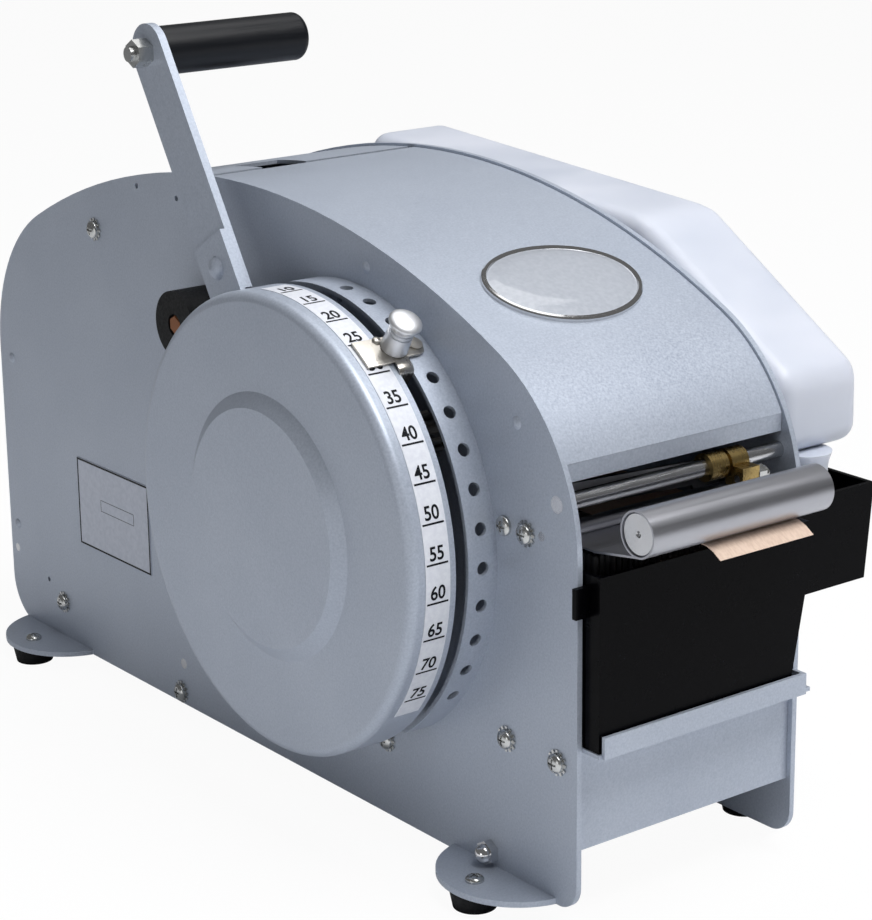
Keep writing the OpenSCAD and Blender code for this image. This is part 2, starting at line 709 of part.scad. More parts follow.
// The selector sits on the dial's edge at a mark; its pin stands in the mark's stop hole
module at_angle(a) translate([0, dial_y, dial_z]) rotate([a, 0, 0]) children();
sel_t = 1.5;
sel_r = dial_r + 0.6;
pin_r = stop_hole_r - 0.4;
module selector_plate() color(steel) place() at_angle(hole_angle) {
    difference() {
        yz(cover_x - 16, 24) intersection() {
            difference() {
                circle(r = sel_r + sel_t, $fn = 180);
                circle(r = sel_r, $fn = 180);
            }
            wedge(-hole_lag, hole_lag, dial_r * 1.3);
        }
        translate([knob_x, 0, 0]) rotate([-90, 0, 0]) cylinder(h = dial_r * 1.2, r = 3.1);
    }
    difference() {
        yz(cover_x + dial_slot - 1, ring_w - 2) intersection() {
            difference() {
                circle(r = sel_r + sel_t, $fn = 180);
                circle(r = sel_r, $fn = 180);
            }
            wedge(-3.4, 3.4, dial_r * 1.3);
        }
        translate([ring_x / 2, 0, 0]) rotate([-90, 0, 0]) cylinder(h = dial_r * 1.2, r = pin_r + run_gap);
        translate([knob_x, 0, 0]) rotate([-90, 0, 0]) cylinder(h = dial_r * 1.2, r = 3.1);
    }
    // Stop tab turned down into the slot
    translate([cover_x + 1.2, 0, 0]) rotate([hole_lag, 0, 0]) translate([0, sel_r - 12, -1])
        cube([dial_slot - 2.4, 12 + sel_t, 1.5]);
}
module selector_pin() color(steel) place()
at_angle(hole_angle) translate([ring_x / 2, 0, 0]) rotate([-90, 0, 0]) {
    translate([0, 0, dial_r + 0.2]) cylinder(h = sel_r + sel_t - dial_r, r = pin_r);
    translate([0, 0, sel_r + sel_t]) cylinder(h = 0.8, r = pin_r + 0.8);
}
knob_l = 21;
module selector_knob() color(steel) place()
at_angle(hole_angle) translate([knob_x, 0, 0]) rotate([-90, 0, 0]) {
    translate([0, 0, sel_r + sel_t]) rotate_extrude() difference() {
        union() {
            polygon([[0, 0], [6.6, 0], [7.2, knob_l - 8], [9, knob_l - 2], [9, knob_l], [0, knob_l]]);
            intersection() {
                translate([0, knob_l - 14]) circle(r = 16.6);
                translate([0, knob_l]) square([9, 4]);
            }
        }
        for (z = [knob_l - 9, knob_l - 6.4]) translate([9.4, z]) circle(r = 2, $fn = 24);
    }
    translate([0, 0, dial_r - 9]) cylinder(h = sel_r + sel_t - dial_r + 9.5, r = 3);
    translate([0, 0, dial_r - 9]) cylinder(h = 3, r = 3.4);
}

buffer_y = 303.5;
buffer_z = 237;
buffer_r = 18.5;
buffer_l = 24;
module lever_buffer() color(black) place() difference() {
    rod(-buffer_l, 0, buffer_y, buffer_z, buffer_r);
    rod(-buffer_l - 1, 1, buffer_y, buffer_z, 3 + run_gap);
    rod(-buffer_l - 1, -buffer_l + 4, buffer_y, buffer_z, 6);
}
module buffer_screw() color([0.6, 0.42, 0.28]) place() {
    rod(-buffer_l + 4, in_l + 2, buffer_y, buffer_z, 3);
    rod(-buffer_l + 1, -buffer_l + 4, buffer_y, buffer_z, 5.2);
    rod(in_l, in_l + 4, buffer_y, buffer_z, 5.5);
}

feed_x0 = tape_x - feed_w / 2;
module feed_shaft() color(steel) place() rod(gear_x - 3, body_w, feed_y, feed_z, shaft_r);
module feed_wheel() color(black) place() difference() {
    rod(feed_x0, feed_x0 + feed_w, feed_y, feed_z, feed_r);
    rod(feed_x0 - 1, feed_x0 + feed_w + 1, feed_y, feed_z, shaft_r + run_gap);
    for (a = [0 : 60 : 300]) translate([0, feed_y, feed_z]) rotate([a, 0, 0])
        rod(feed_x0 - 1, feed_x0 + feed_w + 1, 21, 0, 8);
}
module shaft_bushes() color([0.72, 0.56, 0.30]) place() for (x = [0, in_r]) difference() {
    union() {
        rod(x, x + plate_t, feed_y, feed_z, bush_r);
        rod(x == 0 ? plate_t : x - 4, x == 0 ? plate_t + 4 : x, feed_y, feed_z, bush_r + 2);
    }
    rod(x - 6, x + plate_t + 6, feed_y, feed_z, shaft_r + run_gap);
}

press_w = feed_w;
module pressure_roller() color(black) place() difference() {
    rod(feed_x0, feed_x0 + press_w, press_y, press_z, press_r);
    rod(feed_x0 - 1, feed_x0 + press_w + 1, press_y, press_z, axle_r + run_gap);
}
yoke_t = 3;
module pressure_yoke() color(steel) place() {
    for (x = [feed_x0 - 0.5 - yoke_t, feed_x0 + press_w + 0.5]) difference() {
        yz(x, yoke_t) {
            translate([press_y, press_z]) circle(r = 6);
            translate([yoke_y, yoke_z]) circle(r = 8);
            polygon([
                [press_y, press_z + 5.9], [yoke_y, yoke_z + 7.8],
                [yoke_y, yoke_z - 7.8], [press_y, press_z - 5.9]]);
        }
        rod(x - 1, x + yoke_t + 1, yoke_y, yoke_z, yoke_r + run_gap);
    }
    rod(feed_x0 - 0.5 - yoke_t, feed_x0 + press_w + 0.5 + yoke_t, press_y, press_z, axle_r);
}

frame_y = blade_y + 6.2;
cut_z = nip_z - tape_t;
lug_t = 7;
module shear_frame() color(steel) place() {
    difference() {
        union() {
            translate([span_l, frame_y, cut_z - 16]) cube([span_r - span_l, 9, 13]);
            for (x = [span_l, span_r - lug_t]) {
                translate([x, tank_back + 1.5, cut_z - 16]) cube([lug_t, frame_y + 9 - tank_back - 1.5, 29]);
                translate([x, 31, cut_z - 2]) cube([lug_t, tank_back - 29, 15]);
            }
        }
        for (p = concat(shear_at, plain_at)) {
            rod(span_l - 1, span_l + 3, p[0], p[1], screw_r + run_gap);
            rod(span_r - 3, span_r + 1, p[0], p[1], screw_r + run_gap);
        }
        for (x = [in_l + 30, in_r - 30]) translate([x, frame_y - 1, cut_z - 10])
            rotate([-90, 0, 0]) cylinder(h = 7, r = 2 + run_gap);
    }
}
module fixed_blade() color(steel) place() {
    difference() {
        translate([in_l + 9, blade_y + 2.2, cut_z - 20]) cube([in_r - in_l - 18, 4, 19.6]);
        translate([in_r - 16, blade_y, cut_z - 6]) rotate([-90, 0, 0])
            cylinder(h = 10, r = 2.5 + run_gap);
        for (x = [in_l + 30, in_r - 30]) translate([x, blade_y, cut_z - 10])
            rotate([-90, 0, 0]) cylinder(h = 10, r = 2 + run_gap);
    }
}
pivot_x = in_r - 16;
pivot_z = cut_z - 6;
module moving_blade() color(steel) place() difference() {
    xz(blade_y, 2) difference() {
        polygon([
            [in_l + 10, cut_z + 8], [pivot_x - 12, cut_z + 2.5], [pivot_x - 7, pivot_z - 5],
            [pivot_x + 6, pivot_z - 5], [pivot_x + 6, cut_z + 14], [in_l + 10, cut_z + 20]]);
        translate([pivot_x, pivot_z]) circle(r = 2.5 + run_gap);
    }
}
module blade_pivot() color(steel) place() {
    translate([pivot_x, blade_y - 0.2, pivot_z]) rotate([-90, 0, 0]) cylinder(h = 6.4, r = 2.5);
    translate([pivot_x, blade_y - 2.6, pivot_z]) rotate([-90, 0, 0]) cylinder(h = 2.5, r = 4.6);
    for (x = [in_l + 30, in_r - 30]) translate([x, blade_y + 2.2, cut_z - 10])
        rotate([-90, 0, 0]) cylinder(h = 9, r = 2);
}

module guide_shaft() color(steel) place() rod(0, body_w, shaft_y, shaft_z, guide_r);
collar_x = 92;
module guide_collars() color([0.72, 0.56, 0.30]) place() difference() {
    union() {
        rod(collar_x, collar_x + 11, shaft_y, shaft_z, collar_r);
        rod(collar_x + 11, collar_x + 13, shaft_y, shaft_z, collar_r - 2);
        rod(collar_x + 13, collar_x + 24, shaft_y, shaft_z, collar_r);
        translate([collar_x + 13, shaft_y - 14, shaft_z - 10]) cube([11, 12, 10]);
    }
    rod(collar_x - 1, collar_x + 25, shaft_y, shaft_z, guide_r + run_gap);
    rod(collar_x + 12, collar_x + 25, shaft_y - 10, shaft_z - 6, 2.05);
}
module collar_clamp() color(steel) place() {
    rod(collar_x + 13, collar_x + 33, shaft_y - 10, shaft_z - 6, 2);
    translate([collar_x + 24, shaft_y - 10, shaft_z - 6]) rotate([0, 90, 0]) cylinder(h = 5, r = 5, $fn = 6);
    rod(collar_x + 29, collar_x + 30.5, shaft_y - 10, shaft_z - 6, 4.2);
}

// Weight bar in the rolled front edge of the sheet, which hangs on a rod behind
weight_x0 = in_l + 9;
sheet_r = weight_r + 0.05;
module weight_bar() color(steel) place() difference() {
    rod(weight_x0, weight_x0 + weight_l, -weight_y, weight_z, weight_r);
    rod(weight_x0 - 1, weight_x0 + 1.5, -weight_y, weight_z, 1.5);
}
module weight_plate() color(steel) place() {
    sx = weight_x0 - 0.8;
    sl = weight_l + 1.6;
    difference() {
        rod(sx, sx + sl, -weight_y, weight_z, sheet_r + weight_sheet);
        rod(sx - 1, sx + sl + 1, -weight_y, weight_z, sheet_r);
    }
    yz(sx, sl) polygon([
        [-weight_y, weight_z - sheet_r - weight_sheet], [-weight_y, weight_z - sheet_r],
        [2, sheet_z + weight_sheet], [sheet_y, sheet_z + weight_sheet], [sheet_y, sheet_z], [1, sheet_z]]);
    difference() {
        rod(sx, sx + sl, sheet_y, sheet_z + 4, 4);
        rod(sx - 1, sx + sl + 1, sheet_y, sheet_z + 4, rod_r + run_gap);
    }
}

module guide_roller() color(black) place() difference() {
    rod(in_l + 4, in_r - 4, guide_y, guide_z, guide_roll_r);
    rod(in_l + 3, in_r - 3, guide_y, guide_z, axle_r + run_gap);
}
module cradle_roller(y, bore) difference() {
    rod(in_l + 1, in_r - 1, y, cradle_z, cradle_r);
    rod(in_l, in_r, y, cradle_z, bore + run_gap);
}
module front_cradle_roller() color(black) place() cradle_roller(cradle_y1, axle_r);
module rear_cradle_roller() color(black) place() cradle_roller(cradle_y2, tie_r);
module tape_roll() color(kraft) place() difference() {
    rod(tape_x0, tape_x0 + tape_w, roll_y, roll_z, roll_r);
    rod(tape_x0 - 1, tape_x0 + tape_w + 1, roll_y, roll_z, core_r);
}
module roll_core() color([0.7, 0.6, 0.45]) place() difference() {
    rod(tape_x0, tape_x0 + tape_w, roll_y, roll_z, core_r);
    rod(tape_x0 - 1, tape_x0 + tape_w + 1, roll_y, roll_z, core_r - 3);
}

// Tape path: tangent points between two circles, and the arcs between them
function polar(a, r) = [r * cos(a), r * sin(a)];
roll_c = [roll_y, roll_z];
guide_c = [guide_y, guide_z];
feed_c = [feed_y, feed_z];
function heading(p, q) = atan2(q[1] - p[1], q[0] - p[0]);
function cross_turn(p, q, r) = 90 - asin(r / norm(q - p));
tr = guide_roll_r + 0.3 + tape_t;
a1 = heading(roll_c, guide_c) + cross_turn(roll_c, guide_c, roll_r + 0.3 + tr);
a2 = a1 + 180 - 360;
a3 = 360 + heading(guide_c, feed_c) - cross_turn(guide_c, feed_c, tr + feed_r + 0.3);
a4 = a3 + 180;
function side_of(line, i) = let (d = line[min(i + 1, len(line) - 1)] - line[max(i - 1, 0)])
    [-d[1], d[0]] / norm(d);
module tape_strip() color(kraft) place() {
    out_z = weight_z - sheet_r - weight_sheet - tape_t - 0.3;
    line = concat(
        [roll_c + polar(a1, roll_r + 0.3)],
        [for (i = [0 : 8]) guide_c + polar(a2 + (a3 - a2) * i / 8, tr)],
        [for (i = [0 : 3]) feed_c + polar(a4 + (270 - a4) * i / 3, feed_r + 0.3)],
        [[2, nip_z - 0.3], [-weight_y + 3, out_z], [-weight_y - 4, out_z],
         [-weight_y - 9, out_z - 1.8], [-tape_out, out_z - 5]]);
    n = len(line);
    yz(tape_x0, tape_w) polygon(concat(
        line, [for (i = [n - 1 : -1 : 0]) line[i] + tape_t * side_of(line, i)]));
}

module tank_shelf() color(silver) place() {
    lip_x0 = in_l + 2;
    lip_x1 = in_r - 5;
    translate([span_l, -tank_front - 1, shelf_z - 2])
        cube([span_r - span_l, tank_back + tank_front + 4, 2]);
    translate([lip_x0, -tank_front - 3, shelf_z - 2]) cube([lip_x1 - lip_x0, 2, 11]);
    translate([lip_x1 - 2, -tank_front - 3, shelf_z - 2]) cube([2, 8, 11]);
    for (x = [span_l, span_r - 1.5]) difference() {
        translate([x, 26, shelf_z - 22]) cube([1.5, 36, 20]);
        rod(x - 1, x + 3, shelf_at[1][0], shelf_at[1][1], screw_r + run_gap);
    }
}

module tank_walls(t) {
    // Main body with a slight draft on the bottle side
    translate([0, -tank_front + t, 0]) xz(0, tank_back + tank_front - 2 * t) polygon([
        [tank_l + t, shelf_z + 0.2 + t], [tank_r - tank_draft - t, shelf_z + 0.2 + t],
        [tank_r - 1.5 - t, tank_top - 37], [tank_r - t, tank_top + (t > 0 ? 1 : 0)],
        [tank_l + t, tank_top + (t > 0 ? 1 : 0)]]);
    // Arm through the side plate
    translate([0, well_y0 + t, 0]) xz(0, tank_back - well_y0 - 2 * t) polygon([
        [tank_r - 20, arm_bottom + t], [arm_r - arm_draft - t, arm_bottom + t],
        [arm_r - t, arm_top + (t > 0 ? 1 : 0)],
        [tank_r - (t > 0 ? 20 : 3), arm_top + (t > 0 ? 1 : 0)],
        [tank_r - (t > 0 ? 20 : 3), tank_top - 10]]);
}
module water_tank() color(black) place() difference() {
    union() {
        tank_walls(0);
        // Tab that laps the left plate's front edge
        translate([-3.5, -3, tank_top - 21]) cube([tank_l + 5, 2.8, 15]);
    }
    tank_walls(tank_t);
}
module brushes() color(black) place() for (y = [0, 20]) {
    translate([tank_l + tank_t + 3, y, shelf_z + 0.2 + tank_t]) cube([tank_r - tank_l - 26, 12, 62]);
    translate([tank_l + tank_t + 5, y + 1, shelf_z + 62.6])
        cube([tank_r - tank_l - 30, 10, nip_z - tape_t - 0.5 - shelf_z - 62.6]);
}

// Bottle outline in Y and Z, with a sloping front shoulder
module bottle_shape(t) {
    r = 10 - t;
    edge = [
        [28, bottle_z + 10], [28, 229], [128, bottle_top - 24],
        [bottle_back - 10, bottle_top - 10], [bottle_back - 10, bottle_z + 10]];
    hull() for (p = edge) translate(p) circle(r = r, $fn = 32);
}
module bottle_solid(t) yz(bottle_x0 + t, bottle_w - 2 * t) bottle_shape(t);
module water_bottle() color([0.93, 0.94, 0.96]) place() {
    difference() {
        bottle_solid(0);
        bottle_solid(bottle_t);
        translate([neck_x, neck_y, bottle_z - 1]) cylinder(h = bottle_t + 2, r = neck_r - bottle_t);
    }
    difference() {
        translate([neck_x, neck_y, cap_z + cap_t]) cylinder(h = bottle_z + 1 - cap_z - cap_t, r = neck_r);
        translate([neck_x, neck_y, cap_z]) cylinder(h = bottle_z + 3 - cap_z, r = neck_r - bottle_t);
    }
}
// Screw cap with a valve stem, which stands on the floor of the tank's well
cap_h = 20;
module bottle_cap() color(black) place() translate([neck_x, neck_y, cap_z]) difference() {
    cylinder(h = cap_h, r = neck_r + cap_t);
    translate([0, 0, cap_t]) cylinder(h = cap_h, r = neck_r + run_gap);
    translate([0, 0, -1]) cylinder(h = cap_t + 2, r = 4);
}

left_side_plate();
right_side_plate();
front_cover();
rear_cover();
pivot_rods();
front_cross_plate();
rear_cross_plate();
tie_rods();
frame_screws();
star_washers();
acorn_nuts();
plate_rivets();
cover_badge();
data_plate();
rubber_feet();
foot_screws();
dial_cover();
dial_scale();
stop_ring();
dial_spindle();
spindle_nut();
return_spring();
lever_bracket();
lever_arm();
lever_rivets();
drive_gear();
grip_bolt();
grip_nut();
grip();
selector_plate();
selector_pin();
selector_knob();
lever_buffer();
buffer_screw();
pinion();
feed_shaft();
feed_wheel();
shaft_bushes();
pressure_roller();
pressure_yoke();
shear_frame();
fixed_blade();
moving_blade();
blade_pivot();
guide_shaft();
guide_collars();
collar_clamp();
weight_bar();
weight_plate();
guide_roller();
front_cradle_roller();
rear_cradle_roller();
tape_roll();
roll_core();
tape_strip();
tank_shelf();
water_tank();
brushes();
water_bottle();
bottle_cap();
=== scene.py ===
# %% [markdown]
# # A hand-lever dispenser for gummed paper tape
# This lesson dresses a finished CAD assembly. The CAD nodes are exact, so most of them stay as they
# are and only get a finish. Pieces that need softer edges, turned rings, numbers or bristles are
# modelled here with Blender's own tools and stand in for their nodes.

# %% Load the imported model
import json
import math
import bpy
from mathutils import Matrix, Vector


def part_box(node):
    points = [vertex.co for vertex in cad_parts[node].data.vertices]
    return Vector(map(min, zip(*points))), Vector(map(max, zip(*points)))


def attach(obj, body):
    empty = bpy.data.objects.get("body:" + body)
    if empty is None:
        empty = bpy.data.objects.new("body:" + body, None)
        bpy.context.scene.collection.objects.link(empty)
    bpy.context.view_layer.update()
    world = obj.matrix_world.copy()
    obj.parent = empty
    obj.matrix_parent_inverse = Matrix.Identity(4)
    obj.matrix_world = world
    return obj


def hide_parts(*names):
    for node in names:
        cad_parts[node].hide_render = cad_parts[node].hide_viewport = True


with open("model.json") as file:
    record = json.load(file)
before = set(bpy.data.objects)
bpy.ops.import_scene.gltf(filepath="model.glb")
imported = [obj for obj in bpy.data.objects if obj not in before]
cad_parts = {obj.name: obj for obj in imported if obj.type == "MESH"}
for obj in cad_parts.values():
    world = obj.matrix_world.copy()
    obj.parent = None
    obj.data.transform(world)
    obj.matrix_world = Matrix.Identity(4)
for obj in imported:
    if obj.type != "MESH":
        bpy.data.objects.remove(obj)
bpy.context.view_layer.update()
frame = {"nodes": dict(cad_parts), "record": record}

# %% [markdown]
# The drawing of the machine counts millimetres from the front lower corner of the dial-side plate.
# One helper turns such a place into metres in the scene, and it finds that corner from the nodes.

# %% Places in millimetres
MM = 0.001
corner = Vector((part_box("front_cover")[0][0] - 3.2 * MM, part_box("left_side_plate")[0][1],
                 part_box("left_side_plate")[0][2]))


def at(x, y, z):
    return corner + Vector((x, y, z)) * MM


print("front lower corner:", tuple(round(v, 4) for v in corner))

# %% [markdown]
# The photograph was taken from the front left, a little above the machine, with a long lens.
# The camera is placed by its distance from that corner and turned by three angles: to the side,
# down, and a slight roll. No lens shift is needed.

# %% Camera
turn, dip, roll = 0.653, 0.291, -0.0122
ahead = Vector((math.sin(turn) * math.cos(dip), math.cos(turn) * math.cos(dip), -math.sin(dip)))
level = Vector((math.cos(turn), -math.sin(turn), 0))
above = level.cross(ahead)
right = math.cos(roll) * level + math.sin(roll) * above
upward = -math.sin(roll) * level + math.cos(roll) * above
camera_data = bpy.data.cameras.new("photo_camera")
camera_data.sensor_width = 36
camera_data.lens = 2651.58 * 36 / 920
camera = bpy.data.objects.new("photo_camera", camera_data)
bpy.context.scene.collection.objects.link(camera)
camera.matrix_world = Matrix((
    (right.x, upward.x, -ahead.x, 0), (right.y, upward.y, -ahead.y, 0),
    (right.z, upward.z, -ahead.z, 0), (0, 0, 0, 1)))
camera.location = at(-751.1, -875.8, 572.9)
bpy.context.scene.camera = camera
print("lens in mm:", round(camera_data.lens, 2))

# %% [markdown]
# A material is a small tree of nodes. Colours are written as they look on a screen, in hex, and one
# function turns them into the linear numbers that a shader needs. A second one adds a node with its
# settings, the stops of its ramp and what goes into its sockets: another node's socket is linked,
# and anything else is a constant.

# %% Colours and nodes
def linear(hex_code):
    parts = [int(hex_code[i:i + 2], 16) / 255 for i in (1, 3, 5)]
    return tuple(c / 12.92 if c <= 0.04045 else ((c + 0.055) / 1.055) ** 2.4 for c in parts) + (1,)


def add_node(tree, kind, inputs=None, stops=(), **settings):
    node = tree.nodes.new(kind)
    for name, value in settings.items():
        setattr(node, name, value)
    for end, (position, colour) in zip(node.color_ramp.elements if stops else (), stops):
        end.position = position
        end.color = linear(colour) if isinstance(colour, str) else (colour, colour, colour, 1)
    for socket, value in (inputs or {}).items():
        if isinstance(value, bpy.types.NodeSocket):
            tree.links.new(value, node.inputs[socket])
        else:
            node.inputs[socket].default_value = value
    return node


print("colours and nodes ready")

# %% [markdown]
# Every surface of the machine is built the same way. A noise of a real size in millimetres, which
# may be stretched along the lay of the surface, varies the roughness, sometimes the colour, and
# lifts the surface a little. A slow second noise can be mixed in, so that large faces vary too.

# %% One routine for a surface
def plain(name, colour, roughness):
    material = bpy.data.materials.new(name)
    material.use_nodes = True
    shader = material.node_tree.nodes["Principled BSDF"]
    shader.inputs["Base Color"].default_value = linear(colour)
    shader.inputs["Roughness"].default_value = roughness
    return material, shader


def surface(name, colour, roughness, grain_mm, bump, rough_stops, colour_stops=(),
            stretch=(1, 1, 1), detail=3.0, cloud=(), constants=None):
    material, shader = plain(name, colour, roughness)
    tree = material.node_tree
    for socket, value in (constants or {}).items():
        shader.inputs[socket].default_value = value
    place = add_node(tree, "ShaderNodeTexCoord").outputs["Object"]
    along_lay = add_node(tree, "ShaderNodeMapping", {"Vector": place, "Scale": stretch}).outputs[0]
    grain = tone = add_node(tree, "ShaderNodeTexNoise", {
        "Vector": along_lay, "Scale": 1000 / grain_mm, "Detail": detail}).outputs["Fac"]
    if cloud:
        cloud_mm, share = cloud
        slow = add_node(tree, "ShaderNodeTexNoise", {
            "Vector": place, "Scale": 1000 / cloud_mm, "Detail": 3.0}).outputs["Fac"]
        tone = add_node(tree, "ShaderNodeMath", {0: slow, 1: share, 2: grain},
                        operation="MULTIPLY_ADD").outputs[0]
    if colour_stops:
        colours = add_node(tree, "ShaderNodeValToRGB", {"Fac": tone}, colour_stops)
        tree.links.new(colours.outputs["Color"], shader.inputs["Base Color"])
    sheen = add_node(tree, "ShaderNodeValToRGB", {"Fac": grain}, rough_stops)
    tree.links.new(sheen.outputs["Color"], shader.inputs["Roughness"])
    strength, depth_mm = bump
    relief = add_node(tree, "ShaderNodeBump", {
        "Height": grain, "Strength": strength, "Distance": depth_mm * MM})
    tree.links.new(relief.outputs["Normal"], shader.inputs["Normal"])
    return material


print("surface routine ready")

# %% [markdown]
# The plates and covers are sheet steel with a fine-textured silver-grey powder coat. The powder
# melts into small humps under a millimetre across, so the surface is a soft sparkle rather than a
# mirror. A slow second noise keeps large faces from looking printed.

# %% Silver-grey powder coat
silver_paint = surface(
    "fine_textured_powder_coat", "#a9b1c0", 0.46, 1.1, (0.22, 0.06), ((0.3, 0.34), (0.7, 0.50)),
    ((0.3, "#9da6b6"), (0.95, "#b8c0cd")), detail=2.0, cloud=(60.0, 0.35),
    constants={"Metallic": 0.3})
print(silver_paint.name)

# %% [markdown]
# The metals. Screws and washers are bright zinc plate, the cap nuts are polished chrome, the weight
# sheet is stainless with a brushed lay along the machine's width, and the selector is satin nickel.
# A metal keeps its default IOR; its lay is a noise stretched a hundredfold along one axis.

# %% Metals
def metal(name, colour, roughness, lay_mm, stretch=(1, 1, 1), spread=0.06):
    stops = ((0.25, max(roughness - spread, 0.03)), (0.75, roughness + spread))
    return surface(name, colour, roughness, lay_mm, (0.08, 0.003), stops, stretch=stretch,
                   constants={"Metallic": 1.0})


zinc = metal("bright_zinc_plate", "#c3c4c3", 0.24, 2.5)
chrome = metal("polished_chrome", "#dcdcdd", 0.10, 4.0, spread=0.04)
stainless = metal("brushed_stainless_sheet", "#a9aab0", 0.36, 0.5, (0.01, 1, 1), 0.05)
turned_steel = metal("ground_bright_bar", "#c4c5c8", 0.22, 0.6, (0.05, 1, 1), 0.08)
nickel = metal("satin_nickel_plate", "#b9b5ae", 0.30, 1.5, (1, 0.3, 0.3), 0.04)
aluminium = metal("turned_aluminium", "#e4e6ea", 0.46, 1.2, spread=0.05)
brass = metal("turned_brass", "#a8915f", 0.28, 1.5, (1, 0.3, 0.3), 0.04)
tool_steel = metal("ground_tool_steel", "#9c9ea1", 0.32, 0.5, (0.05, 1, 1))
gear_steel = metal("cut_gear_steel_oiled", "#8b8986", 0.36, 1.2)
copper_screw = metal("bronze_passivated_screw", "#8a5c40", 0.42, 1.2)
print("metals ready, from", zinc.name, "to", copper_screw.name)

# %% [markdown]
# Rubber, grip and moulded plastics. Rubber is almost black and matt with a soft uneven skin. The
# grip is smooth moulded vinyl with faint lines. The tank is black polystyrene, smoother, and
# shows the slight waviness of a large moulding.

# %% Rubber and black plastics
def moulded(name, colour, roughness, skin_mm, strength, depth_mm, stretch=(1, 1, 1), gloss=0.3):
    stops = ((0.25, roughness * 0.8), (0.75, min(roughness * 1.25, 1)))
    return surface(name, colour, roughness, skin_mm, (strength, depth_mm), stops, stretch=stretch,
                   constants={"Specular IOR Level": gloss})


rubber = moulded("black_moulded_rubber", "#0d0e11", 0.6, 1.4, 0.3, 0.05, gloss=0.25)
grip_vinyl = moulded("black_vinyl_grip", "#0e1015", 0.36, 1.0, 0.25, 0.03, (0.06, 1, 1))
tank_plastic = moulded("black_polystyrene_moulding", "#030305", 0.24, 9.0, 0.12, 0.06,
                       gloss=0.05)
cap_plastic = moulded("black_cap_moulding", "#121216", 0.40, 2.0, 0.2, 0.03)
bristle = moulded("black_brush_fibre", "#0d0d10", 0.55, 0.6, 0.2, 0.02, (1, 1, 0.1))
ink = moulded("black_printing_ink", "#101218", 0.5, 0.5, 0.1, 0.005, gloss=0.15)
print("plastics ready, from", rubber.name, "to", ink.name)

# %% [markdown]
# The bottle is blow-moulded natural polyethylene: milky white, light spreads inside it, and its
# walls show slow waves. The numbered band and the plate's label are satin printed film.

# %% Bottle and films
milky = surface(
    "blow_moulded_polyethylene", "#c8cdd9", 0.38, 45.0, (0.2, 0.4), ((0.3, 0.34), (0.7, 0.44)),
    ((0.3, "#c0c6d3"), (0.7, "#ced2dd")), (0.6, 1, 1), 2.0,
    constants={"Subsurface Weight": 0.25, "Subsurface Radius": (0.010, 0.010, 0.011),
               "Subsurface Scale": 1.0})


def film(name, low, high, constants=None):
    return surface(name, high, 0.36, 2.5, (0.06, 0.01), ((0.3, 0.32), (0.7, 0.42)),
                   ((0.35, low), (0.65, high)), constants=constants)


white_film = film("satin_white_film", "#d6d9e2", "#dfe2e9")
label_film = film("satin_grey_label_film", "#b9c0cf", "#c4cad8")
badge_face = film("clear_domed_badge_resin", "#a4a9b3", "#adb2bb",
                  {"Coat Weight": 0.8, "Coat Roughness": 0.04})
print("bottle and films ready")

# %% [markdown]
# Gummed tape is kraft paper: tan, with short darker fibres that run along the strip. The core is
# wound grey-brown board, and its fibres run round it.

# %% Papers
def paper(name, low, high, stretch):
    return surface(name, high, 0.82, 1.2, (0.3, 0.04), ((0.3, 0.74), (0.7, 0.9)),
                   ((0.3, low), (0.62, high)), stretch, 5.0)


kraft = paper("kraft_gummed_paper", "#cdb4a2", "#dcc5b4", (1, 0.35, 0.35))
board = paper("wound_core_board", "#8f7a5e", "#b09a7a", (1, 0.3, 0.3))
print("papers:", kraft.name, board.name)

# %% [markdown]
# Every CAD node that stays gets its finish here, by the material slot that the record gives it.
# A few nodes of one slot look different on the real machine, and they are named one by one.

# %% Finish the CAD nodes
finish_of = {
    "grey_paint": silver_paint, "bright_steel": turned_steel, "zinc": zinc,
    "stainless_sheet": stainless, "nickel_plate": nickel, "tool_steel": tool_steel,
    "knob_aluminium": aluminium, "brass": brass, "black_rubber": rubber, "grip_rubber": grip_vinyl,
    "tank_plastic": tank_plastic, "brush_fibre": bristle, "bottle_plastic": milky,
    "cap_plastic": cap_plastic, "scale_film": white_film, "label_film": label_film,
    "badge_resin": badge_face, "kraft_paper": kraft, "core_board": board, "gear_steel": gear_steel}
slot_of = {part["node"]: part["material_slot"] for part in frame["record"]["subparts"]}
for name, node in frame["nodes"].items():
    finish = finish_of[slot_of[name]]
    if name == "acorn_nuts":
        finish = chrome
    if name == "buffer_screw":
        finish = copper_screw
    if not node.material_slots:
        node.data.materials.append(finish)
    for held in node.material_slots:
        held.material = finish
print("finished nodes:", len(frame["nodes"]))

# %% [markdown]
# New pieces follow one routine. Everything is deselected, a primitive is added and shaped, and at
# the end its place goes into its mesh, so that the object itself sits at the origin. Then it rides
# on its body, takes its material and, where it is a better form of a node, stands in for it.

# %% Modelling helpers
def fresh():
    bpy.ops.object.select_all(action="DESELECT")


def edit():
    bpy.ops.object.mode_set(mode="EDIT")


def done_editing():
    bpy.ops.mesh.select_all(action="SELECT")
    bpy.ops.mesh.remove_doubles(threshold=1e-7)
    bpy.ops.mesh.normals_make_consistent(inside=False)
    bpy.ops.object.mode_set(mode="OBJECT")


def only(piece):
    fresh()
    piece.select_set(True)
    bpy.context.view_layer.objects.active = piece


def stand(piece, origin, out, up=(0, 0, 1)):
    z = Vector(out).normalized()
    x = Vector(up).cross(z)
    x = x.normalized() if x.length > 1e-6 else Vector((1, 0, 0))
    y = z.cross(x)
    piece.matrix_world = Matrix.Translation(origin) @ Matrix((x, y, z)).transposed().to_4x4()
    only(piece)
    bpy.ops.object.transform_apply(location=True, rotation=True, scale=True)


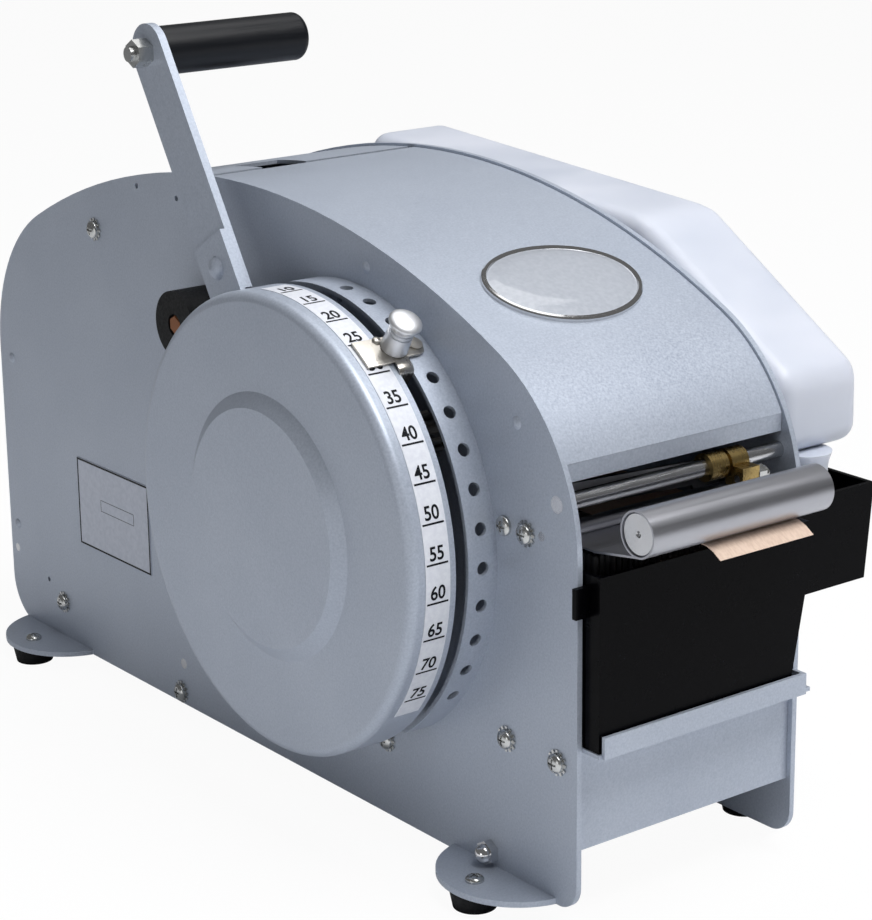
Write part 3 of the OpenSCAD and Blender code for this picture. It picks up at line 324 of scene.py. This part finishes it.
def rounded(piece, width_mm, segments=3, angle=30):
    only(piece)
    made = piece.modifiers.new("edge", "BEVEL")
    made.width = width_mm * MM
    made.segments = segments
    made.limit_method = "ANGLE"
    made.angle_limit = math.radians(angle)
    bpy.ops.object.modifier_apply(modifier=made.name)


def joined(pieces):
    fresh()
    for piece in pieces:
        piece.select_set(True)
    bpy.context.view_layer.objects.active = pieces[0]
    bpy.ops.object.join()
    return bpy.context.object


def finished(piece, name, body, slot, *materials, smooth=32, stands_for=()):
    only(piece)
    bpy.ops.object.transform_apply(location=True, rotation=True, scale=True)
    piece.name = name
    for material in materials:
        piece.data.materials.append(material)
    bpy.ops.object.shade_smooth_by_angle(angle=math.radians(smooth))
    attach(piece, body)
    if stands_for:
        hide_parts(*stands_for)
    print(name, len(piece.data.polygons), "faces")
    return piece


# %% [markdown]
# Many pieces of this machine are turned: screws, bars, nuts, knobs. A turned piece starts as a
# filled circle, and each step of its profile is one extrude and one resize, from the bottom up.

# %% Turned pieces
def turned(profile, sides=64):
    fresh()
    bpy.ops.mesh.primitive_circle_add(vertices=sides, radius=profile[0][0] * MM, fill_type="NGON")
    piece = bpy.context.object
    edit()
    bpy.ops.mesh.select_all(action="SELECT")
    bpy.ops.transform.translate(value=(0, 0, profile[0][1] * MM))
    for (r0, h0), (r1, h1) in zip(profile, profile[1:]):
        bpy.ops.mesh.extrude_region_move(TRANSFORM_OT_translate={"value": (0, 0, (h1 - h0) * MM)})
        bpy.ops.transform.resize(value=(r1 / r0, r1 / r0, 1), center_override=(0, 0, h1 * MM))
    done_editing()
    return piece


print("turned pieces ready")

# %% [markdown]
# The frame's screws have pan heads with a cross recess. One is turned, and two crossed bars cut its
# recess with a Boolean modifier. It is copied to every place where the drawing has a screw.

# %% Pan head screws
def cross_screw(r, shank):
    head = turned([(r, -shank), (r, 0), (r * 1.9, 0.01), (r * 1.9, r * 0.5),
                   (r * 1.78, r * 0.72), (r * 1.5, r * 0.95), (r * 1.05, r * 1.14),
                   (r * 0.5, r * 1.25), (0.05, r * 1.29)], 40)
    bars = []
    for turn_by in (0, 90):
        fresh()
        bpy.ops.mesh.primitive_cube_add(size=1, location=(0, 0, r * 1.2 * MM),
                                        rotation=(0, 0, math.radians(turn_by)))
        bar = bpy.context.object
        bar.scale = (r * 2.1 * MM, r * 0.42 * MM, r * 1.1 * MM)
        bpy.ops.object.transform_apply(location=True, rotation=True, scale=True)
        bars.append(bar)
    only(head)
    for bar in bars:
        cut = head.modifiers.new("recess", "BOOLEAN")
        cut.operation = "DIFFERENCE"
        cut.object = bar
        bpy.ops.object.modifier_apply(modifier=cut.name)
    for bar in bars:
        bpy.data.objects.remove(bar)
    rounded(head, 0.12, 2, 40)
    return head


def copies(original, places):
    made = []
    for origin, out in places:
        copy = original.copy()
        copy.data = original.data.copy()
        bpy.context.scene.collection.objects.link(copy)
        stand(copy, origin, out)
        made.append(copy)
    bpy.data.objects.remove(original)
    return joined(made)


screw_places = []
for y, z in ((483, 25), (350, 7), (150, 42), (424, 267), (14, 74), (52, 74), (37, 182.5)):
    screw_places += [(at(-0.8, y, z), (-1, 0, 0)), (at(145.8, y, z), (1, 0, 0))]
screw_places += [(at(0, 53, 182.5), (-1, 0, 0)), (at(145, 53, 182.5), (1, 0, 0))]
screws = copies(cross_screw(2.6, 6.2), screw_places)
finished(screws, "cross_head_screws", "frame", "zinc", zinc, stands_for=["frame_screws"])
foot_places = [(at(x, y, 3), (0, 0, 1)) for x in (-18.4, 163.4) for y in (55, 491)]
foot_screws = copies(cross_screw(2.5, 8), foot_places)
finished(foot_screws, "foot_cross_screws", "frame", "zinc", zinc, stands_for=["foot_screws"])

# %% [markdown]
# The weight bar is a turned bar inside the rolled edge of the stainless sheet. Its end face shows
# the lathe's work: fine rings, a chamfer and a small centre hole.

# %% Weight bar
bar_r, bar_l = 10.4, 111
rings = [(bar_r, 2.0), (bar_r, 0.7), (9.7, 0.0)]
for r in (9.2, 8.4, 7.6, 6.8, 6.0, 5.2, 4.4, 3.6, 2.8):
    rings += [(r + 0.3, 0.0), (r, 0.05), (r - 0.3, 0.0)]
rings += [(1.7, 0.0), (1.4, 0.5), (0.9, 1.4), (0.05, 1.8)]
left_end = turned([(r, -h) for r, h in rings], 96)
bar = turned([(bar_r, -bar_l), (bar_r, -2.0)], 96)
weight = joined([left_end, bar])
stand(weight, at(12, -28, 196), (-1, 0, 0))
finished(weight, "turned_weight_bar", "weight", "bright_steel", turned_steel,
         stands_for=["weight_bar"])

# %% [markdown]
# The bottle is blow moulded: a block with a sloping shoulder and soft corners all round. A cube is
# cut by two slanting planes, its edges are rounded, and a turned neck goes down into the tank's well.

# %% Water bottle
fresh()
bpy.ops.mesh.primitive_cube_add(size=1, location=at(175.7, 190, 254))
bottle = bpy.context.object
bottle.scale = (57 * MM, 344 * MM, 120 * MM)
bpy.ops.object.transform_apply(location=True, rotation=True, scale=True)
edit()
for y, z, slope in ((22.8, 237.5, (0, -0.521, 0.854)), (127.4, 300.0, (0, -0.0624, 0.998))):
    bpy.ops.mesh.select_all(action="SELECT")
    bpy.ops.mesh.bisect(plane_co=at(0, y, z), plane_no=slope, use_fill=True, clear_outer=True)
done_editing()
rounded(bottle, 11, 8, 20)
neck = turned([(11.6, 130.2), (11.6, 150), (12, 151), (12, 186), (12.6, 190), (14, 194.5)], 48)
stand(neck, at(169.7, 24, 0), (0, 0, 1))
bottle = joined([bottle, neck])
finished(bottle, "blow_moulded_bottle", "bottle", "bottle_plastic", milky, smooth=50,
         stands_for=["water_bottle"])

# %% [markdown]
# The oval badge on the cover is a domed resin face in a bright rim. It is bare here. A circle is
# stretched to an oval, inset for the rim, and raised in steps to the dome; then every point drops a
# little with its distance from the middle, because the cover under it is curved.

# %% Oval badge
fresh()
bpy.ops.mesh.primitive_circle_add(vertices=128, radius=1, fill_type="NGON")
badge = bpy.context.object
edit()
bpy.ops.mesh.select_all(action="SELECT")
a, b, height = 45.0, 33.2, 0.0
bpy.ops.transform.resize(value=(a * MM, b * MM, 1), center_override=(0, 0, 0))
steps = ((0, 1.6), (-0.7, 0.7), (-1.6, 0.1), (-0.6, -0.9), (-0.3, 0.0), (-2.4, 1.0), (-4, 0.55),
         (-6, 0.35), (-6, 0.15))
for shrink, rise in steps:
    height += rise
    bpy.ops.mesh.extrude_region_move(TRANSFORM_OT_translate={"value": (0, 0, rise * MM)})
    factor = ((a + shrink) / a, (b + shrink) / b, 1)
    bpy.ops.transform.resize(value=factor, center_override=(0, 0, height * MM))
    a, b = a + shrink, b + shrink
done_editing()
cover_r, badge_y = 488.5, 97
for point in badge.data.vertices:
    point.co.z -= point.co.y ** 2 / (2 * cover_r * MM)
lean = math.asin((273 - badge_y) / cover_r)
up_cover = Vector((0, math.cos(lean), math.sin(lean)))
stand(badge, at(72.5, badge_y, -174 + cover_r * math.cos(lean)),
      (0, -math.sin(lean), math.cos(lean)), up_cover)
badge.data.materials.append(chrome)
badge.data.materials.append(badge_face)
middle = at(72.5, badge_y, 281.7)
for face in badge.data.polygons:
    away = face.center - middle
    along = up_cover.dot(away)
    inside = (away.x / (42.2 * MM)) ** 2 + (along / (30.4 * MM)) ** 2 < 1
    face.material_index = 1 if inside else 0
finished(badge, "oval_badge", "frame", "badge_resin", smooth=25, stands_for=["cover_badge"])

# %% [markdown]
# The band on the dial's edge is numbered from 10 to 75 in steps of 5, with a line under each number
# at the mark itself. Blender's own font is set a little bolder, made a mesh, and laid on the band.

# %% Dial numbers
dial = at(0, 178, 161)
first_mark, mark_pitch, mark_count = 91.95, 9.33, 14  # degrees, degrees, marks
band_r = 119.36
marks = []
for step in range(mark_count):
    angle = math.radians(first_mark + mark_pitch * step)
    for kind in ("number", "line"):
        lift = 4.9 if kind == "number" else 0.0
        spot = angle - lift / 119.4
        out = Vector((0, math.cos(spot), math.sin(spot)))
        toward_top = Vector((0, math.sin(spot), -math.cos(spot)))
        fresh()
        if kind == "number":
            bpy.ops.object.text_add(location=(0, 0, 0))
            made = bpy.context.object
            made.data.body = str(10 + 5 * step)
            made.data.size = 9.6 * MM
            made.data.offset = 0.16 * MM
            made.data.extrude = 0.05 * MM
            made.data.align_x = "CENTER"
            made.data.align_y = "CENTER"
            bpy.ops.object.convert(target="MESH")
            made = bpy.context.object
            made.scale = (0.93, 1, 1)
            bpy.ops.object.transform_apply(location=True, rotation=True, scale=True)
        else:
            bpy.ops.mesh.primitive_cube_add(size=1, location=(0, 0, 0))
            made = bpy.context.object
            made.scale = (12.6 * MM, 0.95 * MM, 0.1 * MM)
            bpy.ops.object.transform_apply(location=True, rotation=True, scale=True)
            rounded(made, 0.03, 1, 30)
        place = Vector((at(-35.9, 0, 0).x, dial.y, dial.z)) + out * band_r * MM
        facing = Matrix((Vector((1, 0, 0)), toward_top, out)).transposed().to_4x4()
        made.matrix_world = Matrix.Translation(place) @ facing
        only(made)
        bpy.ops.object.transform_apply(location=True, rotation=True, scale=True)
        marks.append(made)
numbers = joined(marks)
finished(numbers, "dial_numbers", "frame", "scale_film", ink)

# %% [markdown]
# The plate on the side keeps only its printed border and an empty box. Each is a flat ring, made
# from a plane by one inset whose middle is deleted, and then given its thickness.

# %% Label border
def printed_ring(y0, y1, z0, z1, line):
    fresh()
    bpy.ops.mesh.primitive_plane_add(size=1, location=(0, 0, 0))
    ring = bpy.context.object
    ring.scale = ((y1 - y0) * MM, (z1 - z0) * MM, 1)
    bpy.ops.object.transform_apply(location=True, rotation=True, scale=True)
    edit()
    bpy.ops.mesh.select_all(action="SELECT")
    bpy.ops.mesh.inset(thickness=line * MM)
    bpy.ops.mesh.delete(type="FACE")
    bpy.ops.mesh.select_all(action="SELECT")
    bpy.ops.mesh.extrude_region_move(TRANSFORM_OT_translate={"value": (0, 0, 0.06 * MM)})
    done_editing()
    stand(ring, at(-0.53, (y0 + y1) / 2, (z0 + z1) / 2), (-1, 0, 0))
    return ring


border = joined([printed_ring(378.2, 457.8, 70.2, 123.8, 1.1),
                 printed_ring(395, 432, 96, 103, 0.25)])
finished(border, "label_border", "frame", "label_film", ink)

# %% [markdown]
# Two brushes stand in the tank and wet the gum. Each has a moulded back and rows of tufts. One tuft
# is a short tapered prism, and two Array modifiers repeat it.

# %% Brushes
brush_pieces = []
tank_x0, tank_x1 = 9.5, 118.5
for y in (0, 20):
    fresh()
    bpy.ops.mesh.primitive_cube_add(size=1, location=at((tank_x0 + tank_x1) / 2, y + 6, 118.9))
    back = bpy.context.object
    back.scale = ((tank_x1 - tank_x0) * MM, 11.6 * MM, 62 * MM)
    bpy.ops.object.transform_apply(location=True, rotation=True, scale=True)
    rounded(back, 1.2, 2)
    back.data.materials.append(cap_plastic)
    brush_pieces.append(back)
    tuft = turned([(1.5, 0), (1.7, 12), (1.75, 27), (1.2, 28.2)], 6)
    stand(tuft, at(tank_x0 + 3, y + 2.2, 149.7), (0, 0, 1))
    for count, gap in ((30, (3.55 * MM, 0, 0)), (3, (0, 3.7 * MM, 0))):
        row = tuft.modifiers.new("row", "ARRAY")
        row.use_relative_offset = False
        row.use_constant_offset = True
        row.constant_offset_displace = gap
        row.count = count
        bpy.ops.object.modifier_apply(modifier=row.name)
    tuft.data.materials.append(bristle)
    brush_pieces.append(tuft)
brush = joined(brush_pieces)
finished(brush, "wetting_brushes", "frame", "brush_fibre", stands_for=["brushes"])

# %% [markdown]
# The selector is a nickel-plated saddle over the dial's edge with a turned aluminium knob. Its
# outline is cut from a plane, given its thickness, and then every point is wrapped round the dial.
# A strap folds down into the slot beside it, where the bracket of the lever would meet it.

# %% Selector saddle
def on_dial(degrees, radius_mm, x_mm):
    a = math.radians(degrees)
    return Vector((at(x_mm, 0, 0).x, dial.y + math.cos(a) * radius_mm * MM,
                   dial.z + math.sin(a) * radius_mm * MM))


def sheet(name, points, faces):
    fresh()
    mesh = bpy.data.meshes.new(name)
    mesh.from_pydata(points, [], faces)
    piece = bpy.data.objects.new(name, mesh)
    bpy.context.scene.collection.objects.link(piece)
    only(piece)
    edit()
    return piece


def wrapped(outline, r0, r1, centre):
    piece = sheet("saddle", [(x * MM, s * MM, 0) for x, s in outline], [range(len(outline))])
    for line in range(-8, 9):
        bpy.ops.mesh.select_all(action="SELECT")
        bpy.ops.mesh.bisect(plane_co=(0, line * MM, 0), plane_no=(0, 1, 0))
    bpy.ops.mesh.select_all(action="SELECT")
    bpy.ops.mesh.extrude_region_move(TRANSFORM_OT_translate={"value": (0, 0, (r1 - r0) * MM)})
    done_editing()
    for point in piece.data.vertices:
        x, s, h = point.co
        point.co = on_dial(centre + math.degrees(s / MM / r0), r0 + h / MM, 0) + Vector((x, 0, 0))
    rounded(piece, 0.35, 2, 40)
    return piece


hole, top_r = 123.92, 121.1  # degrees round the dial, and the saddle's outer radius
outline = [(-41, -8.2), (-17.6, -8.2), (-9, -6.6), (-6.3, -5.2), (-5, -2.6), (-4.8, 0),
           (-5, 2.6), (-6.3, 5.2), (-9, 6.4), (-16, 6.6), (-17.6, 7.6), (-24.4, 8.2), (-41, 8.2)]
saddle = wrapped(outline, 119.6, top_r, hole)
strap_steps = [(-2, top_r), (3.4, 121.5), (5.8, 121.0), (7.8, 119.6), (8.4, 117.0), (8.4, 108)]
points, faces = [], []
for step, (lead, radius) in enumerate(strap_steps):
    for x in (-25.6, -17.2):
        points.append(on_dial(hole + 3.3 + math.degrees(lead / 120), radius, x))
    if step:
        faces.append((2 * step - 2, 2 * step - 1, 2 * step + 1, 2 * step))
strap = sheet("strap", points, faces)
done_editing()
for kind, settings in (
        ("BEVEL", {"width": 0.8 * MM, "segments": 3, "limit_method": "ANGLE", "angle_limit": 0.3}),
        ("SOLIDIFY", {"thickness": 1.2 * MM, "offset": -1}),
        ("BEVEL", {"width": 0.2 * MM, "segments": 2})):
    made = strap.modifiers.new("shape", kind)
    for key, value in settings.items():
        setattr(made, key, value)
    bpy.ops.object.modifier_apply(modifier=made.name)
stud = turned([(2.4, 0), (2.4, 0.6), (1.9, 1.2), (0.9, 1.5), (0.05, 1.6)], 24)
stand(stud, on_dial(hole - 3.0, top_r, -27.5), on_dial(hole - 3.0, 1, 0) - on_dial(0, 0, 0))
saddle = joined([saddle, strap, stud])
finished(saddle, "selector_saddle", "selector", "nickel_plate", nickel, smooth=40,
         stands_for=["selector_plate"])

# %% [markdown]
# The knob is turned aluminium: a plain neck, two fine grooves, and a head that flares to a dome.

# %% Selector knob
knob = turned([(3.0, -10.5), (3.0, -0.2), (6.6, 0), (7.0, 0.5), (6.4, 9.8), (5.6, 10.1),
               (5.6, 10.9), (6.4, 11.2), (6.5, 12.3), (5.7, 12.6), (5.7, 13.4), (6.6, 13.8),
               (7.4, 15.2), (8.4, 16.8), (8.5, 17.4), (8.3, 17.9), (7.4, 18.8), (5.8, 19.6),
               (3.8, 20.2), (1.8, 20.5), (0.05, 20.6)], 72)
stand(knob, on_dial(hole, top_r, -21.2), on_dial(hole, 1, 0) - on_dial(0, 0, 0))
finished(knob, "turned_knob", "selector_knob", "knob_aluminium", aluminium, smooth=35,
         stands_for=["selector_knob"])

# %% [markdown]
# The rubber buffer that stops the lever is held by a hexagon screw in a sunk seat. The screw's head
# is a six-sided prism with its corners turned off.

# %% Buffer screw
head = turned([(5.0, 0), (5.6, 0.4), (5.6, 3.2), (4.9, 3.8)], 6)
shank = turned([(3, -30), (3, 0.2)], 24)
for half in (head, shank):
    stand(half, at(-20, 303.5, 237), (-1, 0, 0))
buffer_bolt = joined([head, shank])
finished(buffer_bolt, "buffer_hex_screw", "frame", "zinc", copper_screw,
         stands_for=["buffer_screw"])

# %% [markdown]
# The floor is one large pale sheet. Seen directly it is white paper; it still takes the machine's
# soft shadow.

# %% Floor
fresh()
bpy.ops.mesh.primitive_plane_add(size=12, location=(0, 0, 0))
floor = bpy.context.object
floor.name = "floor"
floor_paint, shader = plain("white_studio_paper", "#f4f5f7", 0.9)
floor.data.materials.append(floor_paint)
tree = floor_paint.node_tree
glow = add_node(tree, "ShaderNodeEmission", {"Color": (1, 1, 1, 1), "Strength": 1.0})
seen = add_node(tree, "ShaderNodeLightPath").outputs["Is Camera Ray"]
share = add_node(tree, "ShaderNodeMath", {0: seen, 1: 0.95}, operation="MULTIPLY").outputs[0]
both = add_node(tree, "ShaderNodeMixShader", {0: share, 1: shader.outputs[0], 2: glow.outputs[0]})
tree.links.new(both.outputs[0], tree.nodes["Material Output"].inputs["Surface"])
print("floor ready")

# %% [markdown]
# Soft studio light: a dim, even surround, one large panel above and in front, which makes the
# curved cover the brightest part, a weaker one overhead, and a low one on the left for the dial.

# %% Lights and surround
world = bpy.data.worlds.new("studio")
world.use_nodes = True
bpy.context.scene.world = world
surround = world.node_tree.nodes["Background"]
surround.inputs["Color"].default_value = (1, 1, 1, 1)
seen = add_node(world.node_tree, "ShaderNodeLightPath").outputs["Is Camera Ray"]
strength = add_node(world.node_tree, "ShaderNodeMapRange", {
    "Value": seen, "To Min": 0.15, "To Max": 1.0}).outputs["Result"]
world.node_tree.links.new(strength, surround.inputs["Strength"])


def panel(name, place, toward, size, watts):
    lamp = bpy.data.lights.new(name, "AREA")
    lamp.shape = "RECTANGLE"
    lamp.size, lamp.size_y = size
    lamp.energy = watts
    holder = bpy.data.objects.new(name, lamp)
    bpy.context.scene.collection.objects.link(holder)
    holder.location = place
    holder.rotation_euler = (Vector(toward) - Vector(place)).to_track_quat("-Z", "Y").to_euler()


panel("front_panel", (0.25, -1.0, 2.1), (0, -0.1, 0.2), (1.2, 1.2), 48)
panel("top_panel", (0.4, 0.4, 2.1), (0, 0, 0.2), (1.4, 1.4), 11)
panel("dial_panel", (-2.0, -0.7, 0.35), (0, 0, 0.2), (0.8, 0.6), 2.5)
bpy.context.scene.view_settings.view_transform = "Standard"
print("lights:", len(bpy.data.lights))
